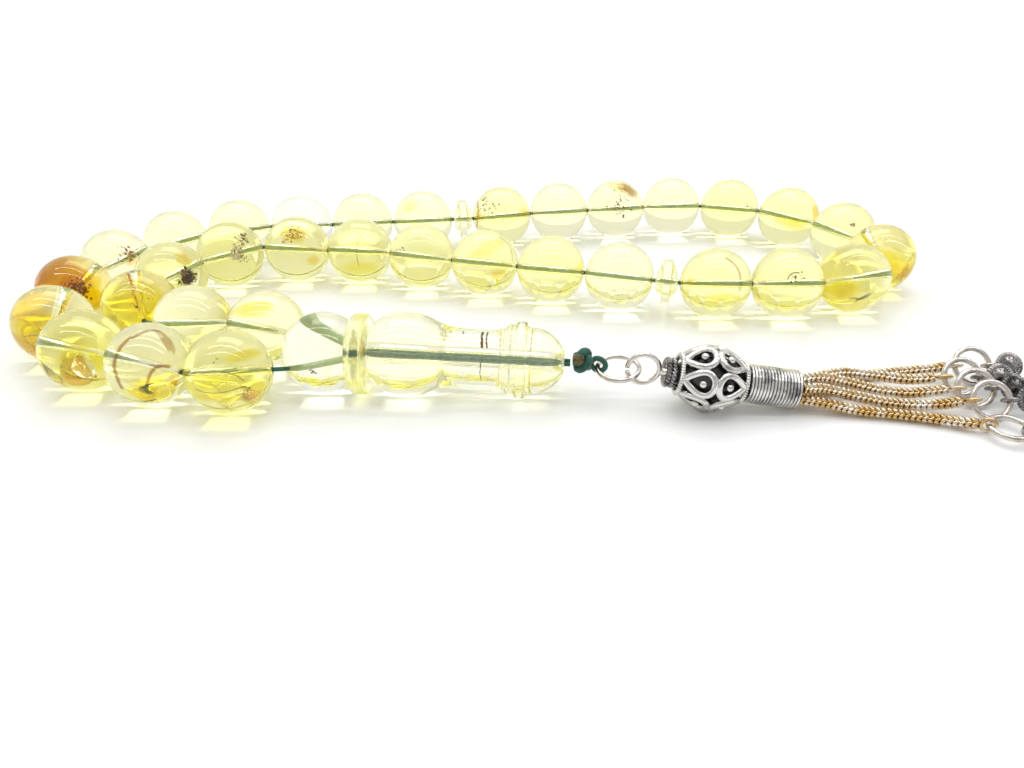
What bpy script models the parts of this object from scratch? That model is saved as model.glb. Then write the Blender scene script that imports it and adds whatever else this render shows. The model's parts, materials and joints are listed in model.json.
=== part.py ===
"""Misbaha prayer beads: 33 amber beads in three groups of 11, strung on one cord.

Both ends of the cord meet in a head bead and run through a disc and a long head piece
(the imame) into a knot. A jump ring links the knot to a silver tassel: an eye pin through
a rope collar, an openwork cage and a ferrule, then five chains, each with a ring and a
charm. The strand lies on a table in a folded loop. Lengths are in metres, +Z is up, and
the origin is on the table below the centre of the whole string.
"""
import math

import bmesh
import bpy
import numpy as np
from mathutils import Matrix, Vector

MM = 0.001
UP = Vector((0, 0, 1))

# Beads and cord
BEAD_COUNT = 33
BEADS_IN_GROUP = 11
BEAD_R = 6.0 * MM
BEAD_MOUTH = 5.88 * MM  # from a bead's centre to the mouth of its bore
BEAD_PITCH = 12.25 * MM  # from one bead's centre to the next
BEAD_STEPS = 12
CORD_R = 0.35 * MM
BORE_R = 0.7 * MM
KINK_GAP = 0.15 * MM  # the cord bends this far outside a bead's mouth

# Spacer discs between the groups
SPACER_R = 3.75 * MM
SPACER_HUB_R = 1.7 * MM
SPACER_HALF = 1.95 * MM
SPACER_RIM_HALF = 0.7 * MM
SPACER_PITCH = 8.2 * MM  # from a bead's centre to a spacer's centre

# Centre line of the strand, seen from above, from the head bead round and back to it
ROUTE = [Vector((x * MM, y * MM)) for x, y in (
    (-29.5, -30.4), (-37.5, -31.0), (-50.0, -28.7), (-62.0, -24.0), (-70.0, -15.5),
    (-72.3, -4.0), (-70.3, 8.5), (-63.0, 18.0), (-52.0, 24.5), (-40.0, 26.7),
    (-15.5, 29.0), (0.5, 31.3), (12.5, 33.7), (24.5, 35.2), (37.0, 36.5),
    (49.0, 34.7), (60.0, 28.8), (67.5, 19.0), (69.6, 7.7), (61.0, -1.5),
    (48.5, -3.3), (36.5, -3.0), (28.3, -1.9), (20.5, 0.3), (-2.5, 6.5),
    (-26.0, 12.8), (-38.5, 14.2), (-50.5, 11.8), (-58.2, 1.6), (-58.6, -10.0),
    (-47.5, -16.3), (-35.5, -18.5), (-28.0, -20.0),
)]
ROUTE_SAMPLES = 20  # between two route points
PATH_STEP = 0.05 * MM
FIRST_PITCH = 8.2 * MM  # from the route's start to the first bead's centre
EASING_PASSES = 4

# Head bead, drilled with two channels that meet at its outlet
HEAD_CENTRE = Vector((-25.4, -25.9, 6.0)) * MM
HEAD_INLET_ANGLE = math.radians(52)  # each inlet from the line of the head piece
HEAD_FACE = 4.0 * MM  # from its centre to its flat side against the disc
HEAD_ARCS = 6
PAIR_OFFSET = 0.45 * MM  # half the distance between the two cord ends side by side
PAIR_BORE_R = 1.2 * MM

# Head disc and imame, as (distance along, radius)
HEAD_STEPS = 16
DISC_CENTRE = Vector((-19.9, -26.3, 5.98)) * MM
DISC_R = 5.85 * MM
DISC_FACE_R = 5.2 * MM
DISC_HALF = 1.15 * MM
DISC_RIM_HALF = 0.7 * MM
IMAME_START = Vector((-18.3, -26.2, 6.2)) * MM
IMAME_END = Vector((9.6, -28.25, 5.4)) * MM
IMAME_OUTLINE = [(s * MM, r * MM) for s, r in (
    (0.0, 4.0), (1.0, 5.0), (2.7, 5.8), (5.0, 6.05), (7.2, 5.85), (8.6, 5.4),
    (10.0, 4.75), (11.6, 4.3), (14.0, 4.15), (17.6, 4.15), (19.2, 4.5), (19.9, 5.1),
    (20.7, 5.1), (21.2, 5.5), (22.3, 5.5), (22.7, 4.85), (24.6, 4.6), (26.2, 3.8),
    (27.3, 2.6), (27.9, 1.6),
)]

# Knot with its loop, and the jump ring that hangs in the loop
KNOT_CENTRE = Vector((12.2, -28.3, 5.7)) * MM
KNOT_RADII = Vector((1.5, 1.6, 2.1)) * MM
KNOT_GAP = 0.3 * MM
LOOP_CENTRE = Vector((14.45, -28.4, 5.1)) * MM
LOOP_R = 1.05 * MM
LOOP_WIRE_R = 0.35 * MM
JUMP_R = 2.95 * MM
JUMP_WIRE_R = 0.38 * MM
JUMP_HEADING = math.radians(-22)
JUMP_ROLL = math.radians(5)

# Tassel head, along one axis from the eye to the ferrule's mouth
TASSEL_EYE = Vector((20.4, -31.2, 6.0)) * MM
TASSEL_MOUTH = Vector((42.0, -32.3, 3.0)) * MM
EYE_R = 2.25 * MM
EYE_WIRE_R = 0.35 * MM
SHANK_R = 0.45 * MM
PIN_HEAD_R = 0.8 * MM
PIN_HEAD_LENGTH = 0.7 * MM
COLLAR_START = 3.0 * MM
COLLAR_LENGTH = 1.4 * MM
COLLAR_R = 2.2 * MM
COLLAR_BORE_R = 0.8 * MM
CAGE_START = 4.7 * MM
CAGE_LENGTH = 9.6 * MM
CAGE_R = 4.75 * MM
CAGE_END_R = 2.6 * MM
CAGE_WALL = 1.0 * MM
CAGE_BORE_R = 0.8 * MM
CAGE_WINDOWS = 3  # holes right through, so twice as many openings
CAGE_WINDOW_R = 1.2 * MM
CAGE_STEPS = 12
FERRULE_START = 14.6 * MM
FERRULE_R = 2.8 * MM
FERRULE_INNER_R = 2.4 * MM
FERRULE_END_WALL = 0.9 * MM
FERRULE_STEPS = 16

# Tassel chains, their end rings and their charms
CHAIN_R = 0.75 * MM
CHAIN_CIRCLE_R = 1.45 * MM  # the chains' places in the ferrule's mouth
CHAIN_SAMPLES = 2
LINK_EYE_R = 0.95 * MM
LINK_EYE_WIRE_R = 0.28 * MM
LINK_EYE_BITE = 0.1 * MM  # how far a chain or charm reaches into its eye's wire
END_RING_R = 2.6 * MM
END_RING_WIRE_R = 0.4 * MM
CHARM_R = 2.1 * MM
CHARM_HALF = 0.6 * MM
CHARM_RIM_HALF = 0.3 * MM
CHARM_STEPS = 12

# Each chain: its place round the mouth (0 is the back, 90 the top), its middle points,
# the point where its end ring passes through its eye, and the heading and the lean of
# the plane that the ring and the charm lie in
CHAINS = [
    (215, ((45.8, -34.0, 1.8), (50.3, -34.7, 1.0), (54.5, -35.4, 0.9),
           (58.5, -36.3, 0.9), (62.2, -37.5, 1.0)), (66.2, -38.9, 1.3), -15, 0),
    (143, ((45.8, -32.7, 3.3), (50.5, -32.7, 2.1), (55.0, -33.2, 1.3),
           (59.2, -33.7, 1.2), (62.6, -34.2, 1.7)), (66.0, -34.5, 2.4), 0, 50),
    (71, ((45.6, -31.0, 4.2), (50.0, -30.3, 2.9), (54.3, -30.5, 1.8),
          (58.4, -31.0, 1.5), (62.0, -31.3, 1.9)), (65.4, -31.4, 2.4), 0, 50),
    (-1, ((45.8, -29.2, 3.1), (50.2, -27.4, 2.8), (55.0, -27.2, 2.2),
          (59.2, -27.9, 1.9), (61.9, -28.2, 2.1)), (65.0, -28.3, 2.4), 0, 50),
    (287, ((45.8, -30.5, 0.9), (50.5, -27.4, 0.85), (55.0, -25.2, 0.85),
           (60.0, -24.6, 1.1), (64.6, -25.0, 1.8)), (68.1, -25.1, 2.4), 0, 50),
]


def clear_scene():
    for old in list(bpy.data.objects):
        bpy.data.objects.remove(old, do_unlink=True)


def new_collection(name):
    collection = bpy.data.collections.new(name)
    bpy.context.scene.collection.children.link(collection)
    return collection


def principled(name, colour, roughness, metallic=0.0, transmission=0.0):
    material = bpy.data.materials.new(name)
    material.use_nodes = True
    shader = material.node_tree.nodes["Principled BSDF"]
    shader.inputs["Base Color"].default_value = (*colour, 1.0)
    shader.inputs["Roughness"].default_value = roughness
    shader.inputs["Metallic"].default_value = metallic
    shader.inputs["Transmission Weight"].default_value = transmission
    return material


def add_object(name, data, material, collection, matrix=None):
    piece = bpy.data.objects.new(name, data)
    if material:
        data.materials.clear()
        data.materials.append(material)
    if matrix:
        piece.matrix_world = matrix
    collection.objects.link(piece)
    return piece


def as_cutter(piece, collection):
    for owner in list(piece.users_collection):
        owner.objects.unlink(piece)
    collection.objects.link(piece)
    piece.hide_render = True
    piece.display_type = "WIRE"
    return piece


def boolean(piece, tool, operation):
    modifier = piece.modifiers.new(f"{operation.title()} {tool.name}", "BOOLEAN")
    modifier.operation = operation
    modifier.object = tool


def frame_along(origin, direction):
    """A matrix with its Z along direction and its X as near to upright as can be."""
    z = direction.normalized()
    toward = UP if abs(z.dot(UP)) < 0.99 else Vector((1, 0, 0))
    x = (toward - z * toward.dot(z)).normalized()
    y = z.cross(x)
    return Matrix.LocRotScale(origin, Matrix((x, y, z)).transposed(), None)


def facet_down(origin, direction, steps):
    """The same, turned half a step so that a turned piece has a facet at its bottom."""
    return frame_along(origin, direction) @ Matrix.Rotation(math.pi / steps, 4, "Z")


def turned_profile(name, outline, steps, bored=True):
    """Profile mesh of a turned piece, from its top down its outer side to its bottom.
    A bored piece's outline starts and ends at its bore and closes through it, and a solid
    one starts and ends on the axis. Corners stand out so that facets reach the radius."""
    inner = outline[0][0]
    outward = 1 / math.cos(math.pi / steps)
    points = [(r * outward if r > inner else r, 0, h) for r, h in outline]
    edges = [(i, i + 1) for i in range(len(points) - 1)]
    if bored:
        edges.append((len(points) - 1, 0))
    mesh = bpy.data.meshes.new(name)
    mesh.from_pydata(points, edges, [])
    return mesh


def turn_piece(name, profile, steps, place, material, collection):
    """A profile turned round its own Z axis, which place sets in the world."""
    piece = add_object(name, profile, material, collection, place)
    screw = piece.modifiers.new("Turned", "SCREW")
    screw.steps = steps
    screw.render_steps = steps
    screw.use_merge_vertices = True
    screw.merge_threshold = 1e-6
    screw.use_smooth_shade = True
    return piece


def torus(name, centre, normal, radius, wire_radius, material, collection,
          segments=16, sides=6):
    bpy.ops.mesh.primitive_torus_add(
        major_radius=radius, minor_radius=wire_radius,
        major_segments=segments, minor_segments=sides)
    piece = bpy.context.object
    piece.name = name
    piece.matrix_world = frame_along(centre, normal)
    piece.data.shade_smooth()
    piece.data.materials.append(material)
    for owner in list(piece.users_collection):
        owner.objects.unlink(piece)
    collection.objects.link(piece)
    return piece


def rod(name, start, end, radius, material, collection, segments=12):
    """A straight round bar between two points."""
    mesh = bpy.data.meshes.new(name)
    bar = bmesh.new()
    bmesh.ops.create_cone(bar, cap_ends=True, segments=segments, radius1=radius,
                          radius2=radius, depth=(end - start).length)
    bar.to_mesh(mesh)
    bar.free()
    return add_object(name, mesh, material, collection,
                      frame_along((start + end) / 2, end - start))


def tube(name, points, radius, material, collection):
    """A wire or cord through the points, with filled ends."""
    curve = bpy.data.curves.new(name, "CURVE")
    curve.dimensions = "3D"
    curve.bevel_depth = radius
    curve.bevel_resolution = 2
    curve.use_fill_caps = True
    spline = curve.splines.new("POLY")
    spline.points.add(len(points) - 1)
    for place, point in zip(spline.points, points):
        place.co = (*point, 1)
    return add_object(name, curve, material, collection)


def made_mesh(piece, material, collection):
    """The mesh of a curve object, with its end caps welded on, in the curve's place."""
    graph = bpy.context.evaluated_depsgraph_get()
    mesh = bpy.data.meshes.new_from_object(piece.evaluated_get(graph))
    weld = bmesh.new()
    weld.from_mesh(mesh)
    bmesh.ops.remove_doubles(weld, verts=weld.verts, dist=1e-6)
    weld.to_mesh(mesh)
    weld.free()
    name, matrix = piece.name, piece.matrix_world.copy()
    bpy.data.objects.remove(piece, do_unlink=True)
    return add_object(name, mesh, material, collection, matrix)


def smooth_curve(points, samples):
    """Points along a smooth curve that passes through the given ones."""
    ends = [points[0] * 2 - points[1], *points, points[-1] * 2 - points[-2]]
    path = []
    for a, b, c, d in zip(ends, ends[1:], ends[2:], ends[3:]):
        for t in np.arange(samples) / samples:
            path.append(((b * 2) + (c - a) * t + (a * 2 - b * 5 + c * 4 - d) * t ** 2
                         + (b * 3 - a - c * 3 + d) * t ** 3) / 2)
    return path + [points[-1]]


def strand_path():
    """The strand's centre line as points a small equal step apart."""
    curve = np.array([tuple(point) for point in smooth_curve(ROUTE, ROUTE_SAMPLES)])
    run = np.concatenate(([0], np.cumsum(np.linalg.norm(np.diff(curve, axis=0), axis=1))))
    places = np.arange(0, run[-1], PATH_STEP)
    return np.stack([np.interp(places, run, curve[:, i]) for i in (0, 1)], axis=1)


def next_along(path, start, distance):
    """Index of the path's point at this straight distance from its start point."""
    apart = np.linalg.norm(path[start:] - path[start], axis=1)
    return start + int(np.argmax(apart >= distance - PATH_STEP / 2))


def bore_headings(points):
    """The headings of the bores of the beads at these points, whose first and last are the
    head bead's inlets. The cord runs straight from one bore's mouth to the next where
    the two bores lean equally off the line between their beads, so each heading starts
    along the strand and is eased towards that."""
    steps = np.diff(points, axis=0)
    lines = np.unwrap(np.arctan2(steps[:, 1], steps[:, 0]))
    headings = (lines[1:] + lines[:-1]) / 2
    headings[0], headings[-1] = lines[0], lines[-1]
    for _ in range(EASING_PASSES):
        for i in range(1, len(headings) - 1):
            headings[i] = (lines[i] + lines[i + 1]
                           - (headings[i - 1] + headings[i + 1]) / 2)
    return headings


def strand_layout():
    """(name, centre, axis, half length) of each bead and spacer, from the head bead on."""
    path = strand_path()
    at = next_along(path, 0, FIRST_PITCH)
    names, places, halves = [], [], []
    for number in range(1, BEAD_COUNT + 1):
        spacer, bead_in_group = divmod(number - 1, BEADS_IN_GROUP)
        if spacer and not bead_in_group:
            at = next_along(path, at, SPACER_PITCH)
            names.append(f"spacer_disc_{spacer}")
            places.append(path[at])
            halves.append(SPACER_HALF)
            at = next_along(path, at, SPACER_PITCH)
        elif number > 1:
            at = next_along(path, at, BEAD_PITCH)
        names.append(f"bead_{number:02d}")
        places.append(path[at])
        halves.append(BEAD_MOUTH)
    ends = [head_inlet(side).to_2d() for side in (-1, 1)]
    headings = bore_headings(np.array([ends[0], *places, ends[1]]))
    return [(name, Vector((*place, BEAD_R)), Vector((math.cos(turn), math.sin(turn), 0)),
             half) for name, place, turn, half in zip(names, places, headings, halves)]


def head_axis():
    """The direction of the head piece, level, from the head bead towards the disc."""
    line = IMAME_END - IMAME_START
    return Vector((line.x, line.y, 0)).normalized()


def head_side():
    return UP.cross(head_axis())


def head_inlet(side):
    """Where the cord enters the head bead: side is -1 at the front and +1 at the back."""
    turned = Matrix.Rotation(-side * HEAD_INLET_ANGLE, 3, "Z") @ -head_axis()
    return HEAD_CENTRE + turned * BEAD_R


def head_outlet(side):
    return HEAD_CENTRE + head_axis() * HEAD_FACE + head_side() * side * PAIR_OFFSET


def cord_end(side):
    """The cord's run through the disc and the imame, up to the knot."""
    line = (IMAME_END - IMAME_START).normalized()
    shift = head_side() * side * PAIR_OFFSET
    stop = KNOT_CENTRE.x - KNOT_RADII.x - KNOT_GAP
    reach = (stop - IMAME_START.x) / line.x
    return [head_outlet(side), IMAME_START - line * KNOT_GAP + shift,
            IMAME_START + line * reach + shift]


def cord_points():
    """The whole stringing cord, straight in each bore and bent between the mouths."""
    points = list(reversed(cord_end(-1))) + [head_inlet(-1)]
    for name, centre, axis, length in strand_layout():
        reach = axis * (length + KINK_GAP)
        points += [centre - reach, centre + reach]
    return points + [head_inlet(1)] + cord_end(1)


def both_sides(outline):
    """An outline's upper half and its mirror image below."""
    return outline + [(r, -h) for r, h in reversed(outline)]


def build_beads(material, collection):
    flat, shoulder = 1.2 * MM, 4.1 * MM
    bead = turned_profile("bead", both_sides([
        (BORE_R, BEAD_MOUTH), (math.sqrt(BEAD_R ** 2 - shoulder ** 2), shoulder),
        (BEAD_R, flat)]), BEAD_STEPS)
    spacer = turned_profile("spacer", both_sides([
        (BORE_R, SPACER_HALF), (SPACER_HUB_R, SPACER_HALF), (SPACER_R, SPACER_RIM_HALF)]),
        BEAD_STEPS)
    for name, centre, axis, length in strand_layout():
        profile = bead if name.startswith("bead") else spacer
        turn_piece(name, profile, BEAD_STEPS, facet_down(centre, axis, BEAD_STEPS),
                   material, collection)


def build_head_bead(material, collection, cutters):
    top = math.acos(HEAD_FACE / BEAD_R)
    turns = [top + (math.pi - top) * part / HEAD_ARCS for part in range(HEAD_ARCS + 1)]
    outline = [(0, HEAD_FACE)]
    outline += [(BEAD_R * math.sin(turn), BEAD_R * math.cos(turn)) for turn in turns]
    outline[-1] = (0, -BEAD_R)
    bead = turn_piece("head_bead", turned_profile("head_bead", outline, HEAD_STEPS, False),
                      HEAD_STEPS, facet_down(HEAD_CENTRE, head_axis(), HEAD_STEPS),
                      material, collection)
    for side in (-1, 1):
        inlet, outlet = head_inlet(side), head_outlet(side)
        past = (outlet - inlet).normalized() * BORE_R * 2
        drill = rod(f"head_channel_{side}", inlet - past, outlet + past, BORE_R, None,
                    cutters)
        boolean(bead, as_cutter(drill, cutters), "DIFFERENCE")


def build_head_piece(material, collection):
    disc = turned_profile("head_disc", both_sides([
        (PAIR_BORE_R, DISC_HALF), (DISC_FACE_R, DISC_HALF), (DISC_R, DISC_RIM_HALF)]),
        HEAD_STEPS)
    turn_piece("head_disc", disc, HEAD_STEPS,
               facet_down(DISC_CENTRE, head_axis(), HEAD_STEPS), material, collection)
    outline = [(PAIR_BORE_R, IMAME_OUTLINE[-1][0])]
    outline += [(r, s) for s, r in reversed(IMAME_OUTLINE)]
    outline += [(PAIR_BORE_R, 0)]
    turn_piece("imame", turned_profile("imame", outline, HEAD_STEPS), HEAD_STEPS,
               facet_down(IMAME_START, IMAME_END - IMAME_START, HEAD_STEPS), material,
               collection)


def build_cord(material, collection, cutters):
    tube("stringing_cord", cord_points(), CORD_R, material, collection)
    mesh = bpy.data.meshes.new("cord_knot")
    lump = bmesh.new()
    bmesh.ops.create_uvsphere(lump, u_segments=12, v_segments=8, radius=1)
    bmesh.ops.scale(lump, vec=KNOT_RADII, verts=lump.verts)
    lump.to_mesh(mesh)
    lump.free()
    mesh.shade_smooth()
    knot = add_object("cord_knot", mesh, material, collection,
                      Matrix.Translation(KNOT_CENTRE))
    loop = torus("knot_loop", LOOP_CENTRE, jump_frame().col[1].to_3d(), LOOP_R,
                 LOOP_WIRE_R, material, cutters, segments=12)
    boolean(knot, as_cutter(loop, cutters), "UNION")


def jump_frame():
    """The jump ring's axes: X from the knot's loop to the tassel's eye, Z its normal."""
    return (Matrix.Translation(LOOP_CENTRE) @ Matrix.Rotation(JUMP_HEADING, 4, "Z")
            @ Matrix.Rotation(JUMP_ROLL, 4, "X"))


def build_jump_ring(material, collection):
    frame = jump_frame()
    centre = frame @ Vector((JUMP_R, 0, 0))
    torus("jump_ring", centre, frame.col[2].to_3d(), JUMP_R, JUMP_WIRE_R, material,
          collection, segments=20)


def tassel_axis():
    return (TASSEL_MOUTH - TASSEL_EYE).normalized()


def on_tassel(distance):
    """A frame on the tassel's axis, this far from the middle of its eye."""
    return frame_along(TASSEL_EYE + tassel_axis() * distance, tassel_axis())


def tassel_turned(name, outline, steps, start, material, collection):
    """A piece turned about the tassel's axis; its outline runs from the far end back."""
    place = facet_down(on_tassel(start).translation, tassel_axis(), steps)
    return turn_piece(name, turned_profile(name, outline, steps), steps, place, material,
                      collection)


def build_tassel_head(silver, collection, cutters):
    eye_normal = frame_along(TASSEL_EYE, tassel_axis()).col[1].to_3d()
    eye = torus("eye_pin", TASSEL_EYE, eye_normal, EYE_R, EYE_WIRE_R, silver,
                collection, segments=20)
    pin_end = FERRULE_START + FERRULE_END_WALL + 2 * KNOT_GAP
    shank = rod("eye_shank", on_tassel(EYE_R).translation,
                on_tassel(pin_end).translation, SHANK_R, None, cutters)
    head = rod("pin_head", on_tassel(pin_end - SHANK_R / 2).translation,
               on_tassel(pin_end + PIN_HEAD_LENGTH).translation, PIN_HEAD_R, None,
               cutters)
    boolean(eye, as_cutter(shank, cutters), "UNION")
    boolean(eye, as_cutter(head, cutters), "UNION")

    tassel_turned("rope_collar", [
        (COLLAR_BORE_R, COLLAR_LENGTH), (COLLAR_R * 0.85, COLLAR_LENGTH),
        (COLLAR_R, COLLAR_LENGTH / 2), (COLLAR_R * 0.85, 0), (COLLAR_BORE_R, 0)],
        CAGE_STEPS, COLLAR_START, silver, collection)

    outside = [(CAGE_END_R + (CAGE_R - CAGE_END_R) * math.sin(part * math.pi),
                CAGE_LENGTH * (1 - part)) for part in (0, 0.15, 0.35, 0.65, 0.85, 1)]
    inside = [(r - CAGE_WALL, min(max(h, CAGE_WALL), CAGE_LENGTH - CAGE_WALL))
              for r, h in reversed(outside)]
    cage = tassel_turned("filigree_cage", [
        (CAGE_BORE_R, CAGE_LENGTH), *outside, (CAGE_BORE_R, 0),
        (CAGE_BORE_R, CAGE_WALL), *inside, (CAGE_BORE_R, CAGE_LENGTH - CAGE_WALL)],
        CAGE_STEPS, CAGE_START, silver, collection)
    middle = on_tassel(CAGE_START + CAGE_LENGTH / 2)
    for number in range(CAGE_WINDOWS):
        turn_by = Matrix.Rotation(math.pi * (number + 0.5) / CAGE_WINDOWS, 4, "Z")
        across = (middle @ turn_by).col[0].to_3d() * CAGE_R * 1.2
        window = rod(f"cage_window_{number}", middle.translation - across,
                     middle.translation + across, CAGE_WINDOW_R, None, cutters,
                     segments=8)
        boolean(cage, as_cutter(window, cutters), "DIFFERENCE")

    length = (TASSEL_MOUTH - TASSEL_EYE).length - FERRULE_START
    tassel_turned("ferrule", [
        (FERRULE_INNER_R, length), (FERRULE_R, length), (FERRULE_R, 0),
        (COLLAR_BORE_R, 0), (COLLAR_BORE_R, FERRULE_END_WALL),
        (FERRULE_INNER_R, FERRULE_END_WALL)],
        FERRULE_STEPS, FERRULE_START, silver, collection)


def chain_start(angle):
    place = math.radians(angle)
    mouth = on_tassel((TASSEL_MOUTH - TASSEL_EYE).length)
    back = -mouth.col[1].to_3d()
    up = mouth.col[0].to_3d()
    return TASSEL_MOUTH + (back * math.cos(place) + up * math.sin(place)) * CHAIN_CIRCLE_R


def chain_frame(heading, lean):
    """Axes at a chain's end: X runs on towards the charm, Z is the leaned normal."""
    return (Matrix.Rotation(math.radians(heading), 3, "Z")
            @ Matrix.Rotation(math.radians(lean), 3, "X"))


def build_chain(number, silver, collection, cutters):
    angle, middle, link, heading, lean = CHAINS[number - 1]
    axes = chain_frame(heading, lean)
    onward, across, normal = axes.col
    link = Vector(link) * MM
    stop = link - onward * (LINK_EYE_R - LINK_EYE_BITE)
    route = [chain_start(angle), *(Vector(point) * MM for point in middle), stop]
    name = f"tassel_chain_{number}"
    chain = tube(name, smooth_curve(route, CHAIN_SAMPLES), CHAIN_R, silver, collection)
    chain = made_mesh(chain, silver, collection)
    eye = torus(f"chain_eye_{number}", link, across, LINK_EYE_R, LINK_EYE_WIRE_R,
                silver, cutters, segments=10)
    boolean(chain, as_cutter(eye, cutters), "UNION")

    torus(f"end_ring_{number}", link + onward * END_RING_R, normal, END_RING_R,
          END_RING_WIRE_R, silver, collection)

    bail = link + onward * END_RING_R * 2
    reach = LINK_EYE_R - LINK_EYE_BITE + CHARM_R
    profile = turned_profile("charm", both_sides([
        (CHARM_R / 4, CHARM_HALF / 2), (CHARM_R / 2, CHARM_HALF),
        (CHARM_R, CHARM_RIM_HALF)]), CHARM_STEPS)
    charm = turn_piece(f"charm_{number}", profile, CHARM_STEPS,
                       facet_down(bail + onward * reach, normal, CHARM_STEPS), silver,
                       collection)
    bail_ring = torus(f"charm_bail_{number}", bail, across, LINK_EYE_R,
                      LINK_EYE_WIRE_R, silver, cutters, segments=10)
    boolean(charm, as_cutter(bail_ring, cutters), "UNION")


def main():
    clear_scene()
    collection = new_collection("misbaha")
    cutters = new_collection("cutters")
    amber = principled("amber", (0.93, 0.86, 0.35), 0.05, transmission=0.9)
    cord = principled("green cord", (0.02, 0.12, 0.07), 0.8)
    silver = principled("oxidised silver", (0.75, 0.72, 0.68), 0.3, metallic=1.0)
    build_beads(amber, collection)
    build_head_bead(amber, collection, cutters)
    build_head_piece(amber, collection)
    build_cord(cord, collection, cutters)
    build_jump_ring(silver, collection)
    build_tassel_head(silver, collection, cutters)
    for number in range(1, len(CHAINS) + 1):
        build_chain(number, silver, collection, cutters)


main()
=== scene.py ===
"""The look of the misbaha: clear amber beads on a green cord, and a silver tassel.

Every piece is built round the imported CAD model, in metres, and rides on its body.
"""
import json
import math
import random

import bmesh
import bpy
import numpy as np
from mathutils import Matrix, Vector, noise


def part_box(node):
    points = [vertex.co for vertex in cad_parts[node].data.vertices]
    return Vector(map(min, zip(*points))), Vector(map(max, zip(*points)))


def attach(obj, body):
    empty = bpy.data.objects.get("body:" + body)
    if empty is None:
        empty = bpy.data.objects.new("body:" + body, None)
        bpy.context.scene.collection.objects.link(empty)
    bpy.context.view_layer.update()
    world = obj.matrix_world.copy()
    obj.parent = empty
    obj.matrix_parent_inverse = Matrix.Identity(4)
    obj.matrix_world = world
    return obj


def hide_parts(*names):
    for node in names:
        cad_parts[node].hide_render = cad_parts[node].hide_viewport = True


noise.seed_set(1)    # without it noise_vector differs from run to run
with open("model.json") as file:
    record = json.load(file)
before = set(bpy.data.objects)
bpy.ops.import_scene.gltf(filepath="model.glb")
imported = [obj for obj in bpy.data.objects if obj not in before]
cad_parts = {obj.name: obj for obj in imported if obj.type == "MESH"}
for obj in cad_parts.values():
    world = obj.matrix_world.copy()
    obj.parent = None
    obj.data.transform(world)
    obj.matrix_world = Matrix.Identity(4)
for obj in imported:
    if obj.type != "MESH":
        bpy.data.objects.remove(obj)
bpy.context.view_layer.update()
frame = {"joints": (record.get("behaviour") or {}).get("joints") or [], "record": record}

MM = 0.001
TURN = 2 * math.pi
UP = Vector((0, 0, 1))
JOINTS = {joint["child"]: joint for joint in frame["joints"]}

# The sizes that the CAD source also has
BEAD_R = 6.0 * MM
BEAD_MOUTH = 5.88 * MM
SPACER_HALF = 1.95 * MM
CORD_R = 0.35 * MM
KINK_GAP = 0.15 * MM
PAIR_OFFSET = 0.45 * MM
HEAD_CENTRE = Vector((-25.4, -25.9, 6.0)) * MM
HEAD_INLET_ANGLE = math.radians(52)
HEAD_FACE = 4.0 * MM
DISC_CENTRE = Vector((-19.9, -26.3, 5.98)) * MM
DISC_R = 5.85 * MM
DISC_HALF = 1.15 * MM
IMAME_START = Vector((-18.3, -26.2, 6.2)) * MM
IMAME_END = Vector((9.6, -28.25, 5.4)) * MM
IMAME_OUTLINE = [(s * MM, r * MM) for s, r in (
    (0.0, 4.0), (1.0, 5.0), (2.7, 5.8), (5.0, 6.05), (7.2, 5.85), (8.6, 5.4),
    (10.0, 4.75), (11.6, 4.3), (14.0, 4.15), (17.6, 4.15), (19.2, 4.5), (19.9, 5.1),
    (20.7, 5.1), (21.2, 5.5), (22.3, 5.5), (22.7, 4.85), (24.6, 4.6), (26.2, 3.8),
    (27.3, 2.6), (27.9, 1.6),
)]
KNOT_CENTRE = Vector((12.2, -28.3, 5.7)) * MM
KNOT_RADII = Vector((1.5, 1.6, 2.1)) * MM
KNOT_GAP = 0.3 * MM
LOOP_CENTRE = Vector((14.45, -28.4, 5.1)) * MM
LOOP_R = 1.05 * MM
JUMP_R = 2.95 * MM
JUMP_WIRE_R = 0.38 * MM
TASSEL_EYE = Vector((20.4, -31.2, 6.0)) * MM
TASSEL_MOUTH = Vector((42.0, -32.3, 3.0)) * MM
EYE_R = 2.25 * MM
EYE_WIRE_R = 0.35 * MM
COLLAR_START = 3.0 * MM
COLLAR_LENGTH = 1.4 * MM
CAGE_START = 4.7 * MM
CAGE_LENGTH = 9.6 * MM
CAGE_R = 4.75 * MM
CAGE_END_R = 2.6 * MM
FERRULE_START = 14.6 * MM
FERRULE_R = 2.8 * MM
CHAIN_CIRCLE_R = 1.45 * MM
LINK_EYE_R = 0.95 * MM
LINK_EYE_WIRE_R = 0.28 * MM
END_RING_R = 2.6 * MM
END_RING_WIRE_R = 0.4 * MM
CHARM_R = 2.1 * MM
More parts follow.
